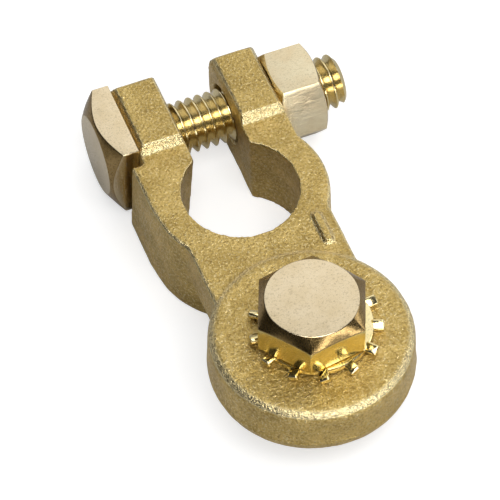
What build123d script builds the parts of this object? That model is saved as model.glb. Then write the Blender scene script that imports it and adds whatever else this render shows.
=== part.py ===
from build123d import *
import os
from math import atan2, ceil, cos, degrees, radians, sin, sqrt, tan

os.makedirs("parts", exist_ok=True)

# Battery-post ground clamp in cast brass, with its pinch bolt and nut, and its cable bolt and
# toothed lock washer. Millimetres. The origin is on the axis of the post bore, on the face that
# the ring stands on. +X runs along the pinch bolt towards its nut, -Y towards the cable pad.

# Ring round the post
ring_height = 13.5
bore_top_radius = 8.2
bore_taper = 1 / 9                    # on the diameter, the taper of a battery post
bore_bottom_radius = bore_top_radius + ring_height * bore_taper / 2
ring_top_radius = 12.45
ring_bottom_radius = 12.85

# Ears that the pinch bolt draws together
ear_height = 14.85
ear_front = 10.4                      # foot of the sloping riser from the ring's top face
riser_run = 0.86
ear_end = 24.0                        # furthest point of the bulged end
ear_end_radius = 13.75                # side-view radius of that end
ear_root = 4.0                        # buried start of the ears, inside the ring
ear_outer = 10.9                      # bearing faces for the bolt head and the nut
slot_top_half = 4.15
slot_bottom_left = 5.15
slot_bottom_right = 4.7
ear_top_outer = 10.2                  # the ears' sides slope in above the ring, outside
ear_top_inner = 4.6                   # and along the slot
riser_foot_radius = 0.7
edge_radius = 0.5                     # cast edges

# Shoulder that stops the square head from turning
shoulder_outer = 13.1
shoulder_end = 9.5
shoulder_blend = 6                    # degrees below -X where its flank leaves the ring

# Neck and cable pad
neck_half_width = 10.4
neck_thickness = 7.0
neck_blend = 4.0
pad_y = -26.2
pad_top = ring_height + 0.5
pad_bottom = 5.7
pad_radius = 14.2                     # at the parting line
pad_top_radius = 14.0
pad_parting = pad_bottom + 1.8
pad_draw_in = 0.3                     # how much the foot is narrower than the parting line
pad_rim = 1.5
pad_foot = 1.2

# Raised bar on the neck, the polarity mark
bar_x = 8.0
bar_y = -10.5
bar_length = 5.6
bar_width = 1.25
bar_height = 0.6
bar_root = 0.5                        # buried part of the bar
bar_edge_radius = 0.3

# Pinch bolt, 5/16-18 with a square head
pinch_y = 17.1
pinch_z = 8.05
pinch_radius = 3.92
pinch_pitch = 25.4 / 18
pinch_hole_radius = 4.45
pinch_head_flats = 12.7
pinch_head_height = 4.45
pinch_head_face_radius = 5.8
pinch_head_slope = 33
pinch_length = 32.55                  # under the head
pinch_plain = 4.9                     # plain stretch under the head

# Pinch nut
nut_flats = 12.7
nut_height = 6.75
nut_face_radius = 6.1
nut_slope = 30
nut_mouth = 0.4                       # countersink at both ends of the hole
nut_turn = 4                          # degrees that the hexagon stands off square

# Cable bolt, 3/8-16 with a hexagon head
cable_radius = 4.70
cable_pitch = 25.4 / 16
cable_head_flats = 14.29
cable_head_height = 6.0
cable_face_radius = 6.38
cable_head_slope = 45
cable_length = 12.7                   # under the head
cable_plain = 2.0                     # plain stretch under the head
cable_head_turn = 22.5                # degrees of one corner from -Y, towards -X

# Lock washer, external teeth
washer_hole_radius = 5.4
washer_body_radius = 7.8
washer_tooth_radius = 9.25
washer_x = 0.6                        # the loose washer lies off the bolt's axis
washer_sheet = 0.95
washer_teeth = 13
washer_tooth_width = 1.5
washer_tooth_root = 0.4               # buried part of a tooth
washer_twist = 25
washer_turn = 6                       # degrees of the first tooth from +X

# Thread form
running_gap = 0.05
thread_depth = 0.613                  # times the pitch
crest_flat = 0.125                    # times the pitch
root_flat = 0.10                      # times the pitch
tip_chamfer = 0.7
ridge_sink = 0.06                     # how far the ridge is rooted in the core
segment_turns = 4
shank_step = 0.03                     # plain shank over the crests


def threaded_rod(radius, pitch, plain, length):
    """Rod on +Z from z = 0: a plain stretch, then a helical thread with a chamfered tip."""
    core = radius - thread_depth * pitch
    crest = radius - core + ridge_sink
    flank = (1 - root_flat) * pitch / 2
    segment_length = segment_turns * pitch
    segments = ceil((length - plain) / segment_length)
    helix = Helix(
        pitch=pitch,
        height=segment_length + 2 * pitch,
        radius=core - ridge_sink,
        center=(0, 0, -pitch),
    )
    start = Plane(origin=helix @ 0, x_dir=(1, 0, 0), z_dir=helix % 0)
    with BuildPart() as ridge:
        with BuildSketch(start):
            with BuildLine():
                Polyline(
                    (0, -flank),
                    (crest, -crest_flat * pitch / 2),
                    (crest, crest_flat * pitch / 2),
                    (0, flank),
                    close=True,
                )
            make_face()
        sweep(path=helix, is_frenet=True)
    # a few whole turns on their core, cut square, so that copies meet face to face
    with BuildPart() as segment:
        with BuildSketch(Plane.XY.offset(-pitch)):
            Circle(core)
        extrude(amount=segment_length + 2 * pitch)
        add(ridge.part)
        with BuildSketch():
            Circle(2 * radius)
        extrude(amount=segment_length, mode=Mode.INTERSECT)
    with BuildPart() as rod:
        with Locations([(0, 0, plain + k * segment_length) for k in range(segments)]):
            add(segment.part)
        with BuildSketch(Plane.XZ):
            with BuildLine():
                Polyline(
                    (0, plain),
                    (radius + tip_chamfer, plain),
                    (radius + tip_chamfer, length - 2 * tip_chamfer),
                    (radius - tip_chamfer, length),
                    (0, length),
                    close=True,
                )
            make_face()
        revolve(axis=Axis.Z, mode=Mode.INTERSECT)
        with BuildSketch():
            Circle(radius + shank_step)
        extrude(amount=plain + shank_step)
    return rod.part


def chamfered_blank(corner_radius, face_radius, slope, height, both_ends):
    """Turned blank on +Z that trims the corners of a square or a hexagon."""
    drop = (corner_radius - face_radius) * tan(radians(slope))
    with BuildPart() as blank:
        with BuildSketch(Plane.XZ):
            with BuildLine():
                if both_ends:
                    Polyline(
                        (0, 0),
                        (face_radius, 0),
                        (corner_radius, drop),
                        (corner_radius, height - drop),
                        (face_radius, height),
                        (0, height),
                        close=True,
                    )
                else:
                    Polyline(
                        (0, 0),
                        (corner_radius, 0),
                        (corner_radius, height - drop),
                        (face_radius, height),
                        (0, height),
                        close=True,
                    )
            make_face()
        revolve(axis=Axis.Z)
    return blank.part


# Clamp body, one casting ---------------------------------------------------------------------
end_centre = ear_end - ear_end_radius
end_foot = end_centre + sqrt(ear_end_radius**2 - pinch_z**2)
end_top = end_centre + sqrt(ear_end_radius**2 - (ear_height - pinch_z) ** 2)
ring_draft = degrees(atan2(ring_bottom_radius - ring_top_radius, ring_height))
blend_angle = radians(shoulder_blend)
shoulder_start = (shoulder_outer * cos(blend_angle) - ring_bottom_radius) / sin(blend_angle)


def edges_at_height(part, height):
    """Edges of a part that lie in one level plane."""
    return part.edges().filter_by_position(Axis.Z, height - 0.01, height + 0.01)


# The ears: a side view with a bulged end, cut to a front view that gives the slot its draft
with BuildPart() as ears:
    with BuildSketch(Plane.YZ) as side_view:
        with BuildLine():
            far_arc = ThreePointArc(
                (end_foot, 0),
                (ear_end, pinch_z),
                (end_top, ear_height),
            )
            Polyline(
                far_arc @ 1,
                (ear_front + riser_run, ear_height),
                (ear_front, ring_height),
                (ear_root, ring_height),
                (ear_root, 0),
                far_arc @ 0,
            )
        make_face()
        riser_foot = side_view.vertices().group_by(Axis.Y)[-2].sort_by(Axis.X)[-1]
        fillet(riser_foot, riser_foot_radius)
    extrude(amount=ear_outer, both=True)
    with BuildSketch(Plane.XZ.offset(-ear_root)):
        with BuildLine():
            Polyline(
                (-ear_outer, 0),
                (-ear_outer, ring_height),
                (-ear_top_outer, ear_height),
                (-ear_top_inner, ear_height),
                (-slot_top_half, ring_height),
                (-slot_bottom_left, 0),
                close=True,
            )
        make_face()
        with BuildLine():
            Polyline(
                (slot_bottom_right, 0),
                (slot_top_half, ring_height),
                (ear_top_inner, ear_height),
                (ear_top_outer, ear_height),
                (ear_outer, ring_height),
                (ear_outer, 0),
                close=True,
            )
        make_face()
    extrude(amount=-(ear_end - ear_root), mode=Mode.INTERSECT)
    fillet(edges_at_height(ears, ear_height), edge_radius)
    ear_feet = edges_at_height(ears, 0).filter_by_position(Axis.Y, ear_root + 0.01, ear_end)
    fillet(ear_feet, edge_radius)

with BuildPart() as clamp_body:
    # ring with its shoulder, drafted from the foot up
    with BuildSketch():
        Circle(ring_bottom_radius)
        with BuildLine():
            Polyline(
                (-ring_bottom_radius * cos(blend_angle), -ring_bottom_radius * sin(blend_angle)),
                (-shoulder_outer, shoulder_start),
                (-shoulder_outer, shoulder_end),
                (-slot_bottom_left, shoulder_end),
                (-slot_bottom_left, 0),
                close=True,
            )
        make_face()
    extrude(amount=ring_height, taper=ring_draft)
    with BuildSketch(Plane.XY.offset(ring_height - neck_thickness)):
        with Locations((0, pad_y)):
            Rectangle(2 * neck_half_width, -pad_y, align=(Align.CENTER, Align.MIN))
    extrude(amount=neck_thickness)
    # inside corners where the neck runs into the ring
    neck_corners = (
        clamp_body.edges()
        .filter_by_position(Axis.Y, -8, -6)
        .filter_by_position(Axis.Z, ring_height - neck_thickness + 0.1, ring_height - 0.1)
    )
    fillet(neck_corners, neck_blend)
    rims = edges_at_height(clamp_body, ring_height) + edges_at_height(clamp_body, 0)
    fillet(rims, edge_radius)
    add(ears.part)
    # cable pad, turned about the cable bolt's axis, with its parting line near the bottom
    with BuildSketch(Plane.XZ.offset(-pad_y)) as pad_section:
        with BuildLine():
            Polyline(
                (0, pad_bottom),
                (pad_radius - pad_draw_in, pad_bottom),
                (pad_radius, pad_parting),
                (pad_top_radius, pad_top),
                (0, pad_top),
                close=True,
            )
        make_face()
        fillet(pad_section.vertices().group_by(Axis.Y)[0].sort_by(Axis.X)[-1], pad_foot)
        fillet(pad_section.vertices().group_by(Axis.Y)[-1].sort_by(Axis.X)[-1], pad_rim)
    revolve(axis=Axis((0, pad_y, 0), (0, 0, 1)))
    # slot, through ring and bore
    with BuildSketch(Plane.XZ):
        with BuildLine():
            Polyline(
                (-slot_bottom_left, 0),
                (-slot_top_half, ring_height),
                (slot_top_half, ring_height),
                (slot_bottom_right, 0),
                close=True,
            )
        make_face()
    extrude(amount=-ear_end, mode=Mode.SUBTRACT)
    # tapered post bore
    with BuildSketch(Plane.XZ):
        with BuildLine():
            Polyline(
                (0, 0),
                (bore_bottom_radius, 0),
                (bore_top_radius, ring_height),
                (0, ring_height),
                close=True,
            )
        make_face()
    revolve(axis=Axis.Z, mode=Mode.SUBTRACT)
    # hole for the pinch bolt, through both ears
    with BuildSketch(Plane.YZ):
        with Locations((pinch_y, pinch_z)):
            Circle(pinch_hole_radius)
    extrude(amount=ear_outer + 1, both=True, mode=Mode.SUBTRACT)
    # tapped hole for the cable bolt
    with BuildSketch(Plane.XY.offset(pad_bottom)):
        with Locations((0, pad_y)):
            Circle(cable_radius + running_gap)
    extrude(amount=pad_top - pad_bottom, mode=Mode.SUBTRACT)
    # raised bar on the neck
    with BuildSketch(Plane.XY.offset(ring_height - bar_root)):
        with Locations((bar_x, bar_y)):
            SlotOverall(bar_length, bar_width, rotation=90)
    extrude(amount=bar_height + bar_root)
    fillet(edges_at_height(clamp_body, ring_height + bar_height), bar_edge_radius)
clamp_body.part.label = "clamp_body"
export_step(clamp_body.part, "parts/clamp_body.step")

# Pinch bolt ------------------------------------------------------------------------------
head_seat = Plane(origin=(-ear_outer, pinch_y, pinch_z), x_dir=(0, 1, 0), z_dir=(1, 0, 0))
pinch_rod = threaded_rod(pinch_radius, pinch_pitch, pinch_plain, pinch_length)
pinch_head_blank = chamfered_blank(
    pinch_head_flats / sqrt(2),
    pinch_head_face_radius,
    pinch_head_slope,
    pinch_head_height,
    False,
)
with BuildPart(head_seat) as pinch_bolt:
    with BuildSketch(head_seat):
        Rectangle(pinch_head_flats, pinch_head_flats)
    extrude(amount=-pinch_head_height)
    add(pinch_head_blank, rotation=(180, 0, 0), mode=Mode.INTERSECT)
    add(pinch_rod)
pinch_bolt.part.label = "pinch_bolt"
export_step(pinch_bolt.part, "parts/pinch_bolt.step")

# Pinch nut -------------------------------------------------------------------------------
nut_seat = Plane(origin=(ear_outer, pinch_y, pinch_z), x_dir=(0, 1, 0), z_dir=(1, 0, 0))
nut_blank = chamfered_blank(nut_flats / sqrt(3), nut_face_radius, nut_slope, nut_height, True)
with BuildPart(nut_seat) as pinch_nut:
    with BuildSketch(nut_seat):
        RegularPolygon(nut_flats / 2, 6, major_radius=False, rotation=nut_turn)
    extrude(amount=nut_height)
    add(nut_blank, mode=Mode.INTERSECT)
    with BuildSketch(nut_seat):
        Circle(pinch_radius + running_gap)
    extrude(amount=nut_height, mode=Mode.SUBTRACT)
    mouths = pinch_nut.edges().filter_by(GeomType.CIRCLE).filter_by(
        lambda edge: abs(edge.radius - pinch_radius - running_gap) < 0.001
    )
    chamfer(mouths, nut_mouth)
pinch_nut.part.label = "pinch_nut"
export_step(pinch_nut.part, "parts/pinch_nut.step")

# Lock washer -----------------------------------------------------------------------------
tooth_length = washer_tooth_radius - washer_body_radius + washer_tooth_root
tooth_middle = washer_tooth_radius - tooth_length / 2
washer_lift = (
    washer_tooth_width * sin(radians(washer_twist)) + washer_sheet * cos(radians(washer_twist))
)
with BuildPart(Plane(origin=(washer_x, pad_y, pad_top + washer_lift / 2))) as lock_washer:
    Cylinder(washer_body_radius, washer_sheet)
    Hole(washer_hole_radius)
    with PolarLocations(tooth_middle, washer_teeth, start_angle=washer_turn):
        Box(tooth_length, washer_tooth_width, washer_sheet, rotation=(washer_twist, 0, 0))
lock_washer.part.label = "lock_washer"
export_step(lock_washer.part, "parts/lock_washer.step")

# Cable bolt ------------------------------------------------------------------------------
cable_seat = Plane(origin=(0, pad_y, pad_top + washer_lift))
cable_rod = threaded_rod(cable_radius, cable_pitch, cable_plain, cable_length)
cable_blank = chamfered_blank(
    cable_head_flats / sqrt(3), cable_face_radius, cable_head_slope, cable_head_height, False
)
with BuildPart(cable_seat) as cable_bolt:
    with BuildSketch(cable_seat):
        RegularPolygon(
            cable_head_flats / 2, 6, major_radius=False, rotation=-90 - cable_head_turn
        )
    extrude(amount=cable_head_height)
    add(cable_blank, mode=Mode.INTERSECT)
    add(cable_rod, rotation=(180, 0, 0))
cable_bolt.part.label = "cable_bolt"
export_step(cable_bolt.part, "parts/cable_bolt.step")
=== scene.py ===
from math import atan2, ceil, cos, pi, radians, sin, sqrt, tan

import bmesh
import bpy
from mathutils import Matrix, Vector, noise


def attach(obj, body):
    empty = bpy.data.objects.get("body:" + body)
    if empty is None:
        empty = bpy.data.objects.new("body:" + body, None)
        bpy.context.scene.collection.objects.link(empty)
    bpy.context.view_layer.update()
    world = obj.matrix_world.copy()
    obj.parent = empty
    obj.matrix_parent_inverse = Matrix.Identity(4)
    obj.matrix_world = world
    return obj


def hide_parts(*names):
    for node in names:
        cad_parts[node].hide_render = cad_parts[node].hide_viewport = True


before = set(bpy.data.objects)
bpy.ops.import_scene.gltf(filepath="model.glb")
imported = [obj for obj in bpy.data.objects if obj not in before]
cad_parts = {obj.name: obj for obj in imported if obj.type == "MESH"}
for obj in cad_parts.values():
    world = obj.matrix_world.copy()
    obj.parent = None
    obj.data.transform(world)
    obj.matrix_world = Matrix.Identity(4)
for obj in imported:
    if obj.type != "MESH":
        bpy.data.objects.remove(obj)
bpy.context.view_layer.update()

# Clamp body ------------------------------------------------------------------------------
# One brass sand casting: the split ring, its two ears, the neck and the round cable pad.
# It is tumbled after casting, which rounds its edges and leaves a fine sandy grain.
mm = 0.001
ring_height = 13.5 * mm
ear_outer = 10.9 * mm
pad_y = -26.2 * mm
pad_parting = 7.5 * mm                # height of the mould's parting line
neck_start_y = -9 * mm
casting_voxel = 0.25 * mm
softening_passes = 3
swell_height, swell_spread = 0.045, 4.5    # the cast faces' unevenness, in millimetres
ripple_height, ripple_spread = 0.032, 1.3
seat_radius = 9.5                     # the pad's true face under the washer, in millimetres
seat_floor = 13 * mm                  # the pad's top face lies above it
ear_face_start = 10 * mm
ear_face_reach = 0.5 * mm
flash_height = 0.10                   # what the fettling left of the parting flash
flash_width = 0.28


def new_piece(name, mesh):
    """An object for a finished mesh, with its place in its mesh."""
    piece = bpy.data.objects.new(name, mesh)
    bpy.context.scene.collection.objects.link(piece)
    return piece


def casting_skin(node, name, voxel, passes):
    """The node's closed form as an even skin, with its edges softened as a casting's are."""
    solid = bmesh.new()
    solid.from_mesh(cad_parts[node].data)
    bmesh.ops.remove_doubles(solid, verts=solid.verts, dist=0.001 * mm)
    merged = bpy.data.meshes.new(name)
    solid.to_mesh(merged)
    solid.free()
    piece = new_piece(name, merged)
    remesh = piece.modifiers.new("skin", "REMESH")
    remesh.mode = "VOXEL"
    remesh.voxel_size = voxel
    soften = piece.modifiers.new("soften", "SMOOTH")
    soften.factor = 0.5
    soften.iterations = passes
    bpy.context.view_layer.update()
    evaluated = piece.evaluated_get(bpy.context.evaluated_depsgraph_get())
    piece.data = bpy.data.meshes.new_from_object(evaluated)
    piece.modifiers.clear()
    return piece


clamp = casting_skin("clamp_body", "clamp_casting", casting_voxel, softening_passes)

surface = bmesh.new()
surface.from_mesh(clamp.data)
surface.normal_update()
for vert in surface.verts:
    place = vert.co / mm
    swell = swell_height * noise.noise(place / swell_spread)
    swell += ripple_height * noise.noise(place / ripple_spread + Vector((7, 3, 1)))
    # bearing faces under the bolt head and the nut, and the pad under the washer, stay true
    on_pad = (place.xy - Vector((0, pad_y / mm))).length
    seat = max(0.0, 1 - on_pad / seat_radius) if vert.co.z > seat_floor else 0.0
    if vert.co.y > ear_face_start and abs(abs(vert.co.x) - ear_outer) < ear_face_reach:
        seat = 1.0
    outwards = vert.normal.copy()
    offset = swell * (1 - min(1.0, 2 * seat))
    # parting flash round the pad and along the neck
    on_wall = abs(outwards.z) < 0.4
    if vert.co.y < neck_start_y and on_wall:
        off_line = (place.z - pad_parting / mm) / flash_width
        ragged = 0.65 + 0.5 * noise.noise(place / 1.8)
        offset += flash_height * ragged * max(0.0, 1 - off_line * off_line)
    vert.co += outwards * offset * mm
surface.to_mesh(clamp.data)
surface.free()
for face in clamp.data.polygons:
    face.use_smooth = True
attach(clamp, "clamp")
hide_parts("clamp_body")


def node_group(name, inputs, outputs):
    """A shader node group that has its sockets but no nodes yet, and its two ends."""
    group = bpy.data.node_groups.new(name, "ShaderNodeTree")
    for socket, kind, value in inputs:
        made = group.interface.new_socket(socket, in_out="INPUT", socket_type=kind)
        if value is not None:
            made.default_value = value
    for socket, kind in outputs:
        group.interface.new_socket(socket, in_out="OUTPUT", socket_type=kind)
    return group, group.nodes.new("NodeGroupInput"), group.nodes.new("NodeGroupOutput")


def joined(tree, source, target):
    """A link between two sockets of a tree."""
    tree.links.new(source, target)


def texture_noise(tree, vector, scale, detail, roughness):
    """A Noise Texture's value, where the scale is a socket or a plain number."""
    node = tree.nodes.new("ShaderNodeTexNoise")
    node.inputs["Detail"].default_value = detail
    node.inputs["Roughness"].default_value = roughness
    if isinstance(scale, (int, float)):
        node.inputs["Scale"].default_value = scale
    else:
        joined(tree, scale, node.inputs["Scale"])
    joined(tree, vector, node.inputs["Vector"])
    return node.outputs["Fac"]


def stretched(tree, value, low, high, to_low=0.0, to_high=1.0):
    """A value mapped from low..high to a new range, and clamped."""
    node = tree.nodes.new("ShaderNodeMapRange")
    joined(tree, value, node.inputs["Value"])
    node.inputs["From Min"].default_value = low
    node.inputs["From Max"].default_value = high
    node.inputs["To Min"].default_value = to_low
    node.inputs["To Max"].default_value = to_high
    return node.outputs["Result"]


def combined(tree, operation, first, second):
    """A Math node on sockets or plain numbers."""
    node = tree.nodes.new("ShaderNodeMath")
    node.operation = operation
    for socket, value in zip(node.inputs, (first, second)):
        if isinstance(value, (int, float)):
            socket.default_value = value
        else:
            joined(tree, value, socket)
    return node.outputs["Value"]


def blended(tree, share, first, second):
    """A colour mix, where colours are sockets or linear RGB values."""
    node = tree.nodes.new("ShaderNodeMix")
    node.data_type = "RGBA"
    joined(tree, share, node.inputs[0])
    for socket, value in ((node.inputs[6], first), (node.inputs[7], second)):
        if isinstance(value, tuple):
            socket.default_value = (*value, 1)
        else:
            joined(tree, value, socket)
    return node.outputs[2]


def new_finish(name):
    """A metal material with Object coordinates in millimetres, ready for its own nodes."""
    finish = bpy.data.materials.new(name)
    finish.use_nodes = True
    tree = finish.node_tree
    metal = tree.nodes["Principled BSDF"]
    metal.inputs["Metallic"].default_value = 1.0
    coordinates = tree.nodes.new("ShaderNodeTexCoord")
    scale = tree.nodes.new("ShaderNodeMapping")
    scale.inputs["Scale"].default_value = (1000, 1000, 1000)
    joined(tree, coordinates.outputs["Object"], scale.inputs["Vector"])
    return finish, tree, metal, scale.outputs["Vector"]


def bumped(tree, height, distance, metal):
    """Relief on a metal, where a height of one stands a distance above the surface."""
    node = tree.nodes.new("ShaderNodeBump")
    node.inputs["Strength"].default_value = 1.0
    node.inputs["Distance"].default_value = distance
    joined(tree, height, node.inputs["Height"])
    joined(tree, node.outputs["Normal"], metal.inputs["Normal"])


# Sand grain: grains of two sizes and round pores, as left by the mould and the tumbling
grain, ends_in, ends_out = node_group(
    "sand_grain",
    [("Position", "NodeSocketVector", None), ("Grain", "NodeSocketFloat", 3.0)],
    [(name, "NodeSocketFloat") for name in ("Height", "Speck", "Pit", "Cloud")],
)
fine = texture_noise(grain, ends_in.outputs["Position"], ends_in.outputs["Grain"], 3, 0.65)
coarse = texture_noise(grain, ends_in.outputs["Position"], 2.1, 2, 0.5)
pores = grain.nodes.new("ShaderNodeTexVoronoi")
pores.inputs["Scale"].default_value = 3.4
pores.inputs["Randomness"].default_value = 1.0
joined(grain, ends_in.outputs["Position"], pores.inputs["Vector"])
pore = stretched(grain, pores.outputs["Distance"], 0.05, 0.22)
height = combined(grain, "MULTIPLY", fine, 0.8)
for layer, share in ((coarse, 0.7), (pore, 0.25)):
    height = combined(grain, "ADD", height, combined(grain, "MULTIPLY", layer, share))
joined(grain, height, ends_out.inputs["Height"])
joined(grain, stretched(grain, fine, 0.53, 0.64), ends_out.inputs["Speck"])
joined(grain, stretched(grain, fine, 0.46, 0.35), ends_out.inputs["Pit"])
cloud = texture_noise(grain, ends_in.outputs["Position"], 0.28, 4, 0.6)
joined(grain, stretched(grain, cloud, 0.35, 0.65), ends_out.inputs["Cloud"])

# tumbled cast brass, clouded between two browns, with dark pits and bright rubbed grains
cloud_dark, cloud_light = (0.49, 0.342, 0.098), (0.68, 0.492, 0.162)
rubbed_gold_and_highlight, pit_brown, grain_gold = (0.96, 0.82, 0.47), (0.26, 0.165, 0.055), (0.98, 0.84, 0.50)
cast_roughness = 0.42
cast_brass, tree, metal, position = new_finish("cast_brass")
sand = tree.nodes.new("ShaderNodeGroup")
sand.node_tree = grain
sand.inputs["Grain"].default_value = 2.9
joined(tree, position, sand.inputs["Position"])
# edges and sloping faces are burnished by the tumbling; their paler, brighter gold is also a painted
# highlight laid on every face that slopes between top and wall
facing = tree.nodes.new("ShaderNodeTexCoord")
upright = tree.nodes.new("ShaderNodeSeparateXYZ")
joined(tree, facing.outputs["Normal"], upright.inputs["Vector"])
off_top = stretched(tree, upright.outputs["Z"], 0.97, 0.86)
off_wall = stretched(tree, upright.outputs["Z"], 0.30, 0.48)
burnish_and_highlight_mask = combined(tree, "MULTIPLY", off_top, off_wall)
tarnish = blended(tree, sand.outputs["Cloud"], cloud_dark, cloud_light)
rubbed_and_highlit = blended(tree, combined(tree, "MULTIPLY", burnish_and_highlight_mask, 0.75), tarnish, rubbed_gold_and_highlight)
pitted = blended(tree, combined(tree, "MULTIPLY", sand.outputs["Pit"], 0.6), rubbed_and_highlit, pit_brown)
speckled = blended(tree, combined(tree, "MULTIPLY", sand.outputs["Speck"], 0.45), pitted, grain_gold)
joined(tree, speckled, metal.inputs["Base Color"])
speck_shine = combined(tree, "MULTIPLY", sand.outputs["Speck"], 0.17)
rough = combined(tree, "SUBTRACT", cast_roughness, speck_shine)
rough = combined(tree, "SUBTRACT", rough, combined(tree, "MULTIPLY", burnish_and_highlight_mask, 0.18))
joined(tree, rough, metal.inputs["Roughness"])
metal.inputs["Coat Weight"].default_value = 0.15
metal.inputs["Coat Roughness"].default_value = 0.4
bumped(tree, sand.outputs["Height"], 0.22 * mm, metal)
clamp.data.materials.clear()
clamp.data.materials.append(cast_brass)

# Pinch bolt ------------------------------------------------------------------------------
# Square-headed brass bolt, 5/16-18, through both ears. Its head is sheared and chamfered from
# drawn bar and its thread is rolled. One flat of the head lies over the ring's shoulder.
pinch_y = 17.1 * mm
pinch_z = 8.05 * mm
pinch_radius = 3.92 * mm
pinch_pitch = 25.4 / 18 * mm
pinch_plain = 5.0 * mm
pinch_length = 32.55 * mm
pinch_flats = 12.7 * mm
pinch_head_height = 4.45 * mm
pinch_face_radius = 5.8 * mm
pinch_head_slope = radians(33)
edge_break = 0.13 * mm
shank_step = 0.03 * mm                # plain shank over the thread's crests
shank_root = 0.5 * mm                 # buried in the head
thread_depth = 0.613                  # times the pitch
thread_lap = 0.2 * mm                 # buried in the plain shank
tip_reach = 1.5 * mm
tip_chamfer = 0.7 * mm
turn_steps = 48
head_steps = 96                       # a whole number of steps on each flat and half flat


def turned(solid, outline, steps=turn_steps * 2, closed=False):
    """Spin an outline of (radius, height) points about Z."""
    corners = [solid.verts.new((radius, 0, height)) for radius, height in outline]
    pairs = list(zip(corners, corners[1:]))
    if closed:
        pairs.append((corners[-1], corners[0]))
    edges = [solid.edges.new(pair) for pair in pairs]
    bmesh.ops.spin(
        solid, geom=corners + edges, cent=(0, 0, 0), axis=(0, 0, 1),
        angle=2 * pi, steps=steps, use_merge=True,
    )
    bmesh.ops.remove_doubles(solid, verts=solid.verts, dist=0.001 * mm)


def cut_across(solid, place, outwards):
    """Cut the solid off square beyond a plane, and close the cut."""
    cut = bmesh.ops.bisect_plane(
        solid, geom=solid.verts[:] + solid.edges[:] + solid.faces[:], dist=0.0001 * mm,
        plane_co=place, plane_no=outwards, clear_outer=True,
    )
    rim = [edge for edge in cut["geom_cut"] if isinstance(edge, bmesh.types.BMEdge)]
    bmesh.ops.contextual_create(solid, geom=rim)


def cut_flats(solid, count, distance, turn):
    """Wrench flats round a turned head."""
    for k in range(count):
        angle = turn + 2 * pi * k / count
        outwards = Vector((cos(angle), sin(angle), 0))
        cut_across(solid, outwards * distance, outwards)


def break_edges(solid, width, least_angle=radians(14)):
    """Round every sharp edge by a narrow bevel."""
    bmesh.ops.recalc_face_normals(solid, faces=solid.faces)
    sharp = [
        edge for edge in solid.edges
        if len(edge.link_faces) == 2 and edge.calc_face_angle() > least_angle
    ]
    bmesh.ops.bevel(
        solid, geom=sharp, offset=width, affect="EDGES", segments=3, profile=0.5,
        material=-1, clamp_overlap=True,
    )


def plain_shank(radius, plain):
    """The plain stretch under a head, coned off where it runs into the thread."""
    shank = bmesh.new()
    full = radius + shank_step
    turned(shank, ((0, -shank_root), (full, -shank_root), (full, plain), (0, plain + full)))
    bmesh.ops.recalc_face_normals(shank, faces=shank.faces)
    return shank


def thread(radius, pitch, plain, length, phase):
    """A rolled thread on Z: one pitch of its profile, turned and advanced, then cut square."""
    solid = bmesh.new()
    root = radius - thread_depth * pitch
    start = plain - thread_lap
    # radius and share of the pitch, over one rounded crest from root to root
    outline = (
        (root, 0), (root + 0.05 * pitch, 0.07), (radius - 0.06 * pitch, 0.39),
        (radius - 0.015 * pitch, 0.44), (radius, 0.5), (radius - 0.015 * pitch, 0.56),
        (radius - 0.06 * pitch, 0.61), (root + 0.05 * pitch, 0.93), (root, 1),
    )
    corners = [
        solid.verts.new((r * cos(phase), r * sin(phase), start + (share - 1) * pitch))
        for r, share in outline
    ]
    edges = [solid.edges.new(pair) for pair in zip(corners, corners[1:])]
    turns = ceil((length - start) / pitch) + 2
    bmesh.ops.spin(
        solid, geom=corners + edges, cent=(0, 0, 0), axis=(0, 0, 1),
        dvec=(0, 0, pitch / turn_steps), angle=2 * pi * turns, steps=turn_steps * turns,
    )
    bmesh.ops.remove_doubles(solid, verts=solid.verts, dist=0.003 * mm)
    cut_across(solid, (0, 0, start), (0, 0, -1))
    cut_across(solid, (0, 0, length), (0, 0, 1))
    bmesh.ops.recalc_face_normals(solid, faces=solid.faces)
    # the last turns are drawn in to a cone, as a bolt's point is
    for vert in solid.verts:
        limit = radius - tip_chamfer + max(0.0, length - vert.co.z)
        reached = vert.co.xy.length
        if vert.co.z > length - tip_reach and reached > limit:
            vert.co.xy *= limit / reached
    return solid


def loop_edges(solid, loop):
    """The edges between the vertices of one loop."""
    members = set(loop)
    return [edge for edge in solid.edges if members.issuperset(edge.verts)]


def bolt_head(face_radius, slope, height, flats, count, turn, arch):
    """A wrench head on Z with one end chamfered; arch is how far the flats' tops are arched.

    Its flats have material 0, its chamfer 1 and its end face 2."""
    head = bmesh.new()
    foot, rim, face = (
        bmesh.ops.create_circle(head, segments=head_steps, radius=face_radius)["verts"]
        for _ in range(3)
    )
    half_side = pi / count
    drop = (flats / 2 / cos(half_side) - face_radius) * tan(slope)
    for vert in foot + rim:
        angle = atan2(vert.co.y, vert.co.x)
        off_flat = (angle - turn + half_side) % (2 * half_side) - half_side
        vert.co.xy *= flats / 2 / cos(off_flat) / face_radius
    for vert in rim:
        arched = (vert.co.xy.length - face_radius) * tan(slope)
        vert.co.z = height - arch * arched - (1 - arch) * drop
    for vert in face:
        vert.co.z = height
    foot, rim, face = (loop_edges(head, loop) for loop in (foot, rim, face))
    bmesh.ops.bridge_loops(head, edges=foot + rim)
    chamfer = bmesh.ops.bridge_loops(head, edges=rim + face)
    for sloping in chamfer["faces"]:
        sloping.material_index = 1
    bmesh.ops.contextual_create(head, geom=foot)
    end = bmesh.ops.contextual_create(head, geom=face)
    end["faces"][0].material_index = 2
    break_edges(head, edge_break)
    return head


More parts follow.
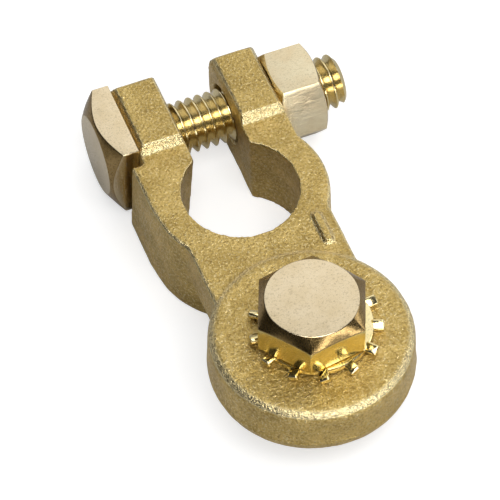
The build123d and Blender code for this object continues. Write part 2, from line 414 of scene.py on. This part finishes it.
def finished(name, shells, placing, body, node, slot_name, *finishes):
    """Join closed shells into one piece, place it, and tell the frame what it stands for."""
    whole = bmesh.new()
    for shell in shells:
        part = bpy.data.meshes.new(name + "_shell")
        shell.to_mesh(part)
        shell.free()
        whole.from_mesh(part)
        bpy.data.meshes.remove(part)
    bmesh.ops.transform(whole, matrix=placing, verts=whole.verts)
    mesh = bpy.data.meshes.new(name)
    whole.to_mesh(mesh)
    whole.free()
    for face in mesh.polygons:
        face.use_smooth = True
    mesh.set_sharp_from_angle(angle=radians(25))
    for finish in finishes:
        mesh.materials.append(finish)
    piece = new_piece(name, mesh)
    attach(piece, body)
    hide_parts(node)
    return piece


# Handling scratches: three families of long thin lines, broken into short stretches
scratches, ends_in, ends_out = node_group(
    "handling_scratches",
    [("Position", "NodeSocketVector", None), ("Width", "NodeSocketFloat", 0.02)],
    [("Mask", "NodeSocketFloat")],
)
layers = []
for turn, spacing in ((0.5, 0.55), (2.1, 0.8), (1.25, 0.35)):
    lean = scratches.nodes.new("ShaderNodeMapping")
    lean.inputs["Rotation"].default_value = (turn, 0.7 * turn, 1.3 * turn)
    lean.inputs["Scale"].default_value = (0.12, spacing, spacing)
    joined(scratches, ends_in.outputs["Position"], lean.inputs["Vector"])
    cells = scratches.nodes.new("ShaderNodeTexVoronoi")
    cells.feature = "DISTANCE_TO_EDGE"
    cells.inputs["Scale"].default_value = 1.0
    joined(scratches, lean.outputs["Vector"], cells.inputs["Vector"])
    layers.append(combined(scratches, "LESS_THAN", cells.outputs["Distance"], ends_in.outputs["Width"]))
lines = combined(scratches, "MAXIMUM", layers[0], combined(scratches, "MAXIMUM", layers[1], layers[2]))
patches = texture_noise(scratches, ends_in.outputs["Position"], 0.9, 2, 0.5)
broken = stretched(scratches, patches, 0.50, 0.62)
joined(scratches, combined(scratches, "MULTIPLY", lines, broken), ends_out.inputs["Mask"])


def drawn_brass(name, along, tint, pale, dull, pitting=0.35, relief=0.007):
    """Bright bar brass with drawing lines along one axis; tint is its colour in the light."""
    finish, tree, metal, position = new_finish(name)
    streak = tree.nodes.new("ShaderNodeMapping")
    streak.inputs["Scale"].default_value = tuple(0.35 if axis == along else 6.0 for axis in range(3))
    joined(tree, position, streak.inputs["Vector"])
    drawing = texture_noise(tree, streak.outputs["Vector"], 1.0, 3, 0.6)
    marks = tree.nodes.new("ShaderNodeGroup")
    marks.node_tree = scratches
    joined(tree, position, marks.inputs["Position"])
    flecks = tree.nodes.new("ShaderNodeGroup")
    flecks.node_tree = grain
    flecks.inputs["Grain"].default_value = 3.6
    joined(tree, position, flecks.inputs["Position"])
    colour = blended(tree, flecks.outputs["Cloud"], tint, pale)
    dark = tuple(0.45 * c for c in tint)
    colour = blended(tree, combined(tree, "MULTIPLY", flecks.outputs["Pit"], pitting), colour, dark)
    colour = blended(tree, combined(tree, "MULTIPLY", marks.outputs["Mask"], 0.12), colour, dark)
    joined(tree, colour, metal.inputs["Base Color"])
    rough = stretched(tree, drawing, 0.3, 0.7, dull - 0.05, dull + 0.07)
    joined(tree, rough, metal.inputs["Roughness"])
    height = combined(tree, "ADD", drawing, combined(tree, "MULTIPLY", flecks.outputs["Height"], 0.9))
    height = combined(tree, "SUBTRACT", height, combined(tree, "MULTIPLY", marks.outputs["Mask"], 0.4))
    bumped(tree, height, relief * mm, metal)
    return finish


bolt_brass = drawn_brass(
    "drawn_brass_bolt", along=0, tint=(0.78, 0.63, 0.30), pale=(0.82, 0.70, 0.42), dull=0.20,
)
# a chamfer's near-black brown is painted shade, a painted dark reflection of the dim studio it faces, and
# an end face is faced off pale with part of its paleness a painted highlight
chamfer_painted_shade = drawn_brass(
    "chamfer_painted_dark_reflection", along=1, tint=(0.25, 0.165, 0.06), pale=(0.38, 0.26, 0.11), dull=0.25,
    pitting=0.7,
)
# pale end finish: faced-off brass, its paleness partly a painted highlight
end_pale_painted_highlight = drawn_brass(
    "faced_end_painted_highlight", along=2, tint=(0.69, 0.565, 0.36), pale=(0.75, 0.63, 0.43), dull=0.22,
    pitting=0.4,
)

pinch_head = bolt_head(
    pinch_face_radius, pinch_head_slope, pinch_head_height, pinch_flats, count=4, turn=0, arch=1.0,
)
# the square head's flats take the pale end finish, so they carry its painted highlight and are as bright
# and pale as its end
for face in pinch_head.faces:
    if face.material_index == 0:
        face.material_index = 2
bmesh.ops.rotate(pinch_head, cent=(0, 0, 0), matrix=Matrix.Rotation(pi, 3, "X"), verts=pinch_head.verts)
pinch_shank = plain_shank(pinch_radius, pinch_plain)
pinch_thread = thread(pinch_radius, pinch_pitch, pinch_plain, pinch_length, pi)
# the bolt's own +Z lies along +X, and its +X along +Y
along_x = Matrix(((0, 0, 1, -ear_outer), (1, 0, 0, pinch_y), (0, 1, 0, pinch_z), (0, 0, 0, 1)))
finished(
    "pinch_bolt_turned", (pinch_head, pinch_shank, pinch_thread), along_x,
    "pinch_bolt", "pinch_bolt", "turned_brass", bolt_brass, chamfer_painted_shade, end_pale_painted_highlight,
)

# Pinch nut -------------------------------------------------------------------------------
# Hexagon nut, 5/16-18, cut from drawn brass bar, bored and chamfered on both ends.
# It is run up the pinch bolt's thread against the right-hand ear.
nut_flats = 12.7 * mm
nut_height = 6.75 * mm
nut_face_radius = 6.1 * mm
nut_turn = radians(4)
nut_slope = radians(30)
nut_mouth = 0.4 * mm
nut_edge_break = 0.14 * mm
nut_hole = pinch_radius + 0.05 * mm
nut_corner = nut_flats / sqrt(3)
nut_drop = (nut_corner - nut_face_radius) * tan(nut_slope)

nut = bmesh.new()
turned(
    nut,
    (
        (nut_hole, nut_mouth), (nut_hole + nut_mouth, 0), (nut_face_radius, 0), (nut_corner, nut_drop),
        (nut_corner, nut_height - nut_drop), (nut_face_radius, nut_height),
        (nut_hole + nut_mouth, nut_height), (nut_hole, nut_height - nut_mouth),
    ),
    closed=True,
)
cut_flats(nut, 6, nut_flats / 2, nut_turn + radians(30))
break_edges(nut, nut_edge_break)
nut_place = Matrix.Translation((2 * ear_outer, 0, 0)) @ along_x
# the nut's paler, duller tint is partly its brass and partly painted shade, toned down against the light
# that glares on its facets
nut_toned_painted_shade = drawn_brass(
    "drawn_nut_painted_shade", along=0, tint=(0.70, 0.58, 0.37), pale=(0.75, 0.66, 0.45), dull=0.19,
    pitting=0.3, relief=0.004,
)
finished("pinch_nut_turned", (nut,), nut_place, "pinch_nut", "pinch_nut", "turned_brass", nut_toned_painted_shade)

# Lock washer -----------------------------------------------------------------------------
# Spring-brass washer between the cable bolt's head and the pad. Its ring and teeth are stamped
# from sheet, and the outer teeth are then twisted, so that they bite into head and pad.
pad_top = 14.0 * mm
washer_hole = 5.4 * mm
washer_body = 7.8 * mm
washer_tip = 9.25 * mm
washer_x = 0.6 * mm                   # it lies off the bolt's axis by its clearance
washer_sheet = 0.95 * mm
washer_teeth = 13
tooth_width = 1.5 * mm
tooth_twist = radians(25)
first_tooth = radians(6.5)
ring_edge_break = 0.18 * mm
tooth_edge_break = 0.26 * mm
tooth_root = 0.4 * mm                 # buried in the ring
tooth_length = washer_tip - washer_body + tooth_root
washer_lift = tooth_width * sin(tooth_twist) + washer_sheet * cos(tooth_twist)

washer_ring = bmesh.new()
half_sheet = washer_sheet / 2
turned(
    washer_ring,
    (
        (washer_hole, -half_sheet), (washer_body, -half_sheet),
        (washer_body, half_sheet), (washer_hole, half_sheet),
    ),
    closed=True,
)
break_edges(washer_ring, ring_edge_break)
teeth = bmesh.new()
bmesh.ops.create_cube(teeth, size=1)
bmesh.ops.scale(teeth, vec=(tooth_length, tooth_width, washer_sheet), verts=teeth.verts)
bmesh.ops.bevel(
    teeth, geom=teeth.edges[:], offset=tooth_edge_break, affect="EDGES", segments=4, profile=0.5,
    material=-1, clamp_overlap=True,
)
bmesh.ops.rotate(teeth, cent=(0, 0, 0), matrix=Matrix.Rotation(tooth_twist, 3, "X"), verts=teeth.verts)
bmesh.ops.translate(teeth, vec=(washer_tip - tooth_length / 2, 0, 0), verts=teeth.verts)
bmesh.ops.rotate(teeth, cent=(0, 0, 0), matrix=Matrix.Rotation(first_tooth, 3, "Z"), verts=teeth.verts)
bmesh.ops.spin(
    teeth, geom=teeth.verts[:] + teeth.edges[:] + teeth.faces[:], cent=(0, 0, 0), axis=(0, 0, 1),
    angle=2 * pi * (washer_teeth - 1) / washer_teeth, steps=washer_teeth - 1, use_duplicate=True,
)
washer_brass = drawn_brass(
    "spring_brass_washer", along=2, tint=(0.88, 0.73, 0.36), pale=(0.92, 0.80, 0.48), dull=0.12,
)
washer_place = Matrix.Translation((washer_x, pad_y, pad_top + washer_lift / 2))
finished(
    "lock_washer_stamped", (washer_ring, teeth), washer_place,
    "lock_washer", "lock_washer", "spring_brass", washer_brass,
)

# Cable bolt ------------------------------------------------------------------------------
# Hexagon-headed brass bolt, 3/8-16, that holds the cable's lug on the pad. Its head is formed
# in a die, which leaves a steep chamfer and nearly straight edges, and its end is faced off.
cable_radius = 4.70 * mm
cable_pitch = 25.4 / 16 * mm
cable_flats = 14.29 * mm
cable_head_height = 6.0 * mm
cable_face_radius = 6.38 * mm
cable_head_slope = radians(42)
cable_plain = 1.6 * mm
cable_length = 12.7 * mm
cable_turn = radians(-112.5)          # one corner of the hexagon, from +X

cable_head = bolt_head(
    cable_face_radius, cable_head_slope, cable_head_height, cable_flats, count=6,
    turn=cable_turn + radians(30), arch=0.3,
)
cable_shank = plain_shank(cable_radius, cable_plain)
cable_thread = thread(cable_radius, cable_pitch, cable_plain, cable_length, 0.0)
for shell in (cable_shank, cable_thread):
    bmesh.ops.rotate(shell, cent=(0, 0, 0), matrix=Matrix.Rotation(pi, 3, "X"), verts=shell.verts)
# the cable bolt's deep, saturated gold is partly its brass and partly a painted reflection of the gold pad
# and washer that its flats face
cable_gold_painted_reflection = drawn_brass(
    "cable_bolt_painted_reflection_brass", along=2, tint=(0.82, 0.66, 0.235), pale=(0.86, 0.71, 0.30), dull=0.17,
)
cable_place = Matrix.Translation((0, pad_y, pad_top + washer_lift))
finished(
    "cable_bolt_turned", (cable_head, cable_shank, cable_thread), cable_place,
    "cable_bolt", "cable_bolt", "turned_brass", cable_gold_painted_reflection, chamfer_painted_shade, end_pale_painted_highlight,
)

# Floor, light and camera -----------------------------------------------------------------
# A pale sweep of paper on the bench. One large softbox hangs over the back and a smaller one over
# the front, with a low strip in front and a reflector on the right.
floor_half = 1.5
paper_grey = 0.58
paper_glow = 0.62                     # how much paler the sweep looks than the clamp sees it
floor_mesh = bpy.data.meshes.new("floor")
sheet = bmesh.new()
bmesh.ops.create_grid(sheet, x_segments=1, y_segments=1, size=floor_half)
sheet.to_mesh(floor_mesh)
sheet.free()
floor = new_piece("floor", floor_mesh)
paper = bpy.data.materials.new("paper")
paper.use_nodes = True
tree = paper.node_tree
sheet_shader = tree.nodes["Principled BSDF"]
sheet_shader.inputs["Base Color"].default_value = (paper_grey, paper_grey, paper_grey, 1)
sheet_shader.inputs["Roughness"].default_value = 0.9
sheet_shader.inputs["Specular IOR Level"].default_value = 0.0
# the sweep is lit apart from the clamp
seen = tree.nodes.new("ShaderNodeLightPath")
glow = combined(tree, "MULTIPLY", seen.outputs["Is Camera Ray"], paper_glow)
joined(tree, glow, sheet_shader.inputs["Emission Strength"])
sheet_shader.inputs["Emission Color"].default_value = (1, 1, 1, 1)
floor_mesh.materials.append(paper)

clamp_centre = Vector((0, -6 * mm, 10 * mm))


def softbox(name, direction, distance, size, power):
    """A rectangular area light that faces the clamp."""
    lamp = bpy.data.lights.new(name, "AREA")
    lamp.shape = "RECTANGLE"
    lamp.size, lamp.size_y = size
    lamp.energy = power
    light = bpy.data.objects.new(name, lamp)
    bpy.context.scene.collection.objects.link(light)
    towards = Vector(direction).normalized()
    light.location = clamp_centre + towards * distance
    light.rotation_mode = "QUATERNION"
    light.rotation_quaternion = towards.to_track_quat("Z", "Y")


softbox("softbox_over_back", direction=(0.31, 0.60, 0.74), distance=0.55, size=(0.88, 0.68), power=1.62)
softbox("softbox_over_front", direction=(-0.03, -0.40, 0.92), distance=0.55, size=(0.40, 0.22), power=1.75)
softbox("softbox_right", direction=(0.95, -0.17, 0.26), distance=0.50, size=(0.26, 0.14), power=0.30)
softbox("strip_front", direction=(0.20, -0.96, 0.24), distance=0.50, size=(0.55, 0.11), power=1.30)

# the studio round it: grey to the right and behind, dark to the left and in front
world = bpy.data.worlds.new("studio")
world.use_nodes = True
tree = world.node_tree
around = tree.nodes.new("ShaderNodeTexCoord")
split = tree.nodes.new("ShaderNodeSeparateXYZ")
joined(tree, around.outputs["Generated"], split.inputs["Vector"])
far_right = combined(tree, "ADD", split.outputs["X"], split.outputs["Y"])
grey = stretched(tree, far_right, 0.2, 1.4, 0.05, 0.42)
joined(tree, grey, tree.nodes["Background"].inputs["Strength"])
tree.nodes["Background"].inputs["Color"].default_value = (1, 0.985, 0.96, 1)
bpy.context.scene.world = world
bpy.context.scene.view_settings.view_transform = "Standard"

# the camera looks down over the pad, at a point set off from the middle of the ring's top face
camera_azimuth = radians(-20.85)
camera_elevation = radians(53.53)
camera_roll = radians(-0.82)
camera_distance = 515.2 * mm
camera_lens = 268.2
aim_right, aim_up = 1.320 * mm, -8.480 * mm
back = Vector((
    sin(camera_azimuth) * cos(camera_elevation),
    -cos(camera_azimuth) * cos(camera_elevation),
    sin(camera_elevation),
))
right = Vector((cos(camera_azimuth), sin(camera_azimuth), 0))
up = back.cross(right)
rolled_right = right * cos(camera_roll) + up * sin(camera_roll)
rolled_up = up * cos(camera_roll) - right * sin(camera_roll)
lens = bpy.data.cameras.new("camera")
lens.lens = camera_lens
lens.sensor_width = 36
lens.clip_start, lens.clip_end = 0.01, 10
camera = bpy.data.objects.new("camera", lens)
bpy.context.scene.collection.objects.link(camera)
turn = Matrix((rolled_right, rolled_up, back)).transposed().to_4x4()
place = back * camera_distance + rolled_right * aim_right + rolled_up * aim_up + Vector((0, 0, ring_height))
camera.matrix_world = Matrix.Translation(place) @ turn
bpy.context.scene.camera = camera
